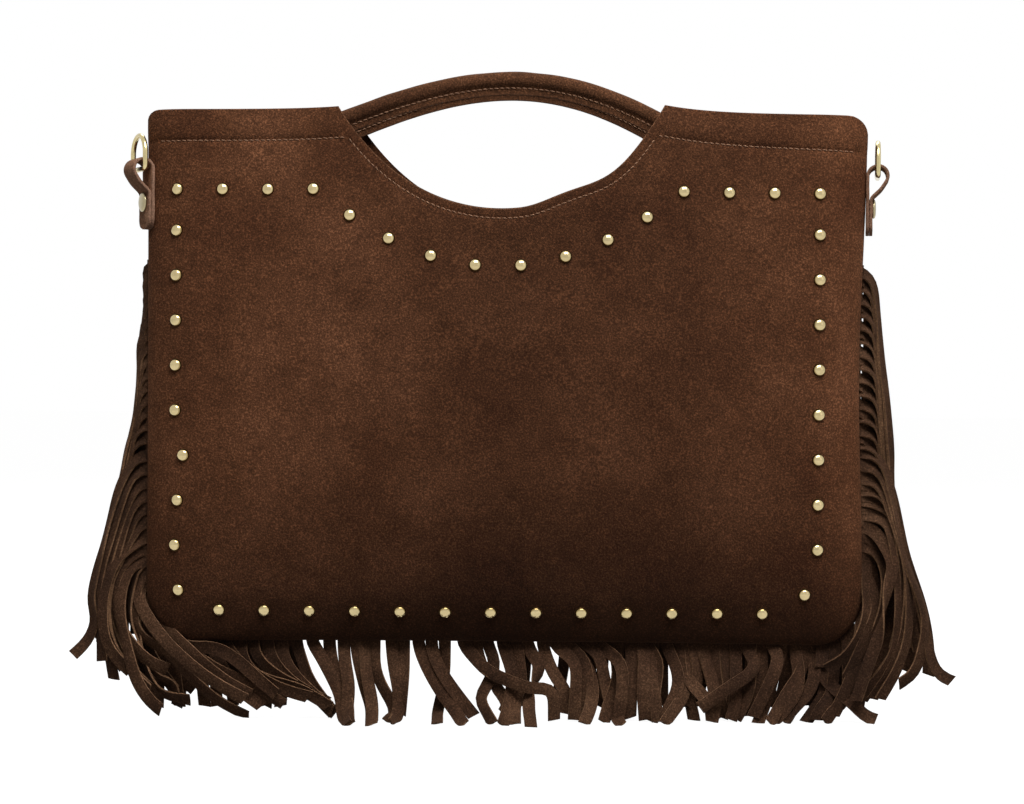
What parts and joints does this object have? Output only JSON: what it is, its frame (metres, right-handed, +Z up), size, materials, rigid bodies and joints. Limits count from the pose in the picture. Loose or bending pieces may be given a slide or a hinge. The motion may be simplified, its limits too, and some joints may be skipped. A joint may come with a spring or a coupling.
{
  "type": "fringed suede handbag",
  "caption": "Wide suede handbag with a studded front, a hand notch under two padded handles, side D-rings and a long fringe round the front seam.",
  "frame": {"origin": "middle of the bag, on the surface that the fringe ends stand on", "axes": "+X to the right along the bag's width, +Y from the studded front to the back, +Z up"},
  "size_m": [0.4416, 0.0673, 0.3477],
  "materials": {
    "suede": "napped chocolate-brown suede with paler brushed patches",
    "fringe": "cut suede, a little greyer, with pale raw edges",
    "lining": "dark brown woven lining",
    "tab": "lighter tan-brown suede with smooth cut edges",
    "brass": "polished pale gold"
  },
  "bodies": {
    "bag": {"front_panel": "suede", "rear_panel": "suede", "gusset": "suede", "lining": "lining", "front_handle": "suede", "rear_handle": "suede", "fringe": "fringe", "stud_top_01": "brass", "stud_top_02": "brass", "stud_top_03": "brass", "stud_top_04": "brass", "stud_top_05": "brass", "stud_top_06": "brass", "stud_top_07": "brass", "stud_top_08": "brass", "stud_top_09": "brass", "stud_top_10": "brass", "stud_top_11": "brass", "stud_top_12": "brass", "stud_top_13": "brass", "stud_top_14": "brass", "stud_top_15": "brass", "stud_top_16": "brass", "stud_left_01": "brass", "stud_left_02": "brass", "stud_left_03": "brass", "stud_left_04": "brass", "stud_left_05": "brass", "stud_left_06": "brass", "stud_left_07": "brass", "stud_left_08": "brass", "stud_left_09": "brass", "stud_right_01": "brass", "stud_right_02": "brass", "stud_right_03": "brass", "stud_right_04": "brass", "stud_right_05": "brass", "stud_right_06": "brass", "stud_right_07": "brass", "stud_right_08": "brass", "stud_right_09": "brass", "stud_bottom_01": "brass", "stud_bottom_02": "brass", "stud_bottom_03": "brass", "stud_bottom_04": "brass", "stud_bottom_05": "brass", "stud_bottom_06": "brass", "stud_bottom_07": "brass", "stud_bottom_08": "brass", "stud_bottom_09": "brass", "stud_bottom_10": "brass", "stud_bottom_11": "brass", "stud_bottom_12": "brass", "stud_bottom_13": "brass", "tab_left": "tab", "tab_right": "tab", "rivet_left": "brass", "rivet_right": "brass"},
    "ring_left": {"d_ring_left": "brass"},
    "ring_right": {"d_ring_right": "brass"}
  },
  "joints": [
    {"name": "ring_left_swing", "type": "hinge", "parent": "bag", "child": "ring_left", "pos_m": [-0.19786, -0.01442, 0.2938], "axis": [0.4695, -0.8829, 0], "range_deg": [-12, 168]},
    {"name": "ring_right_swing", "type": "hinge", "parent": "bag", "child": "ring_right", "pos_m": [0.19979, -0.00685, 0.2938], "axis": [0.1392, 0.9903, 0], "range_deg": [-12, 168]}
  ]
}
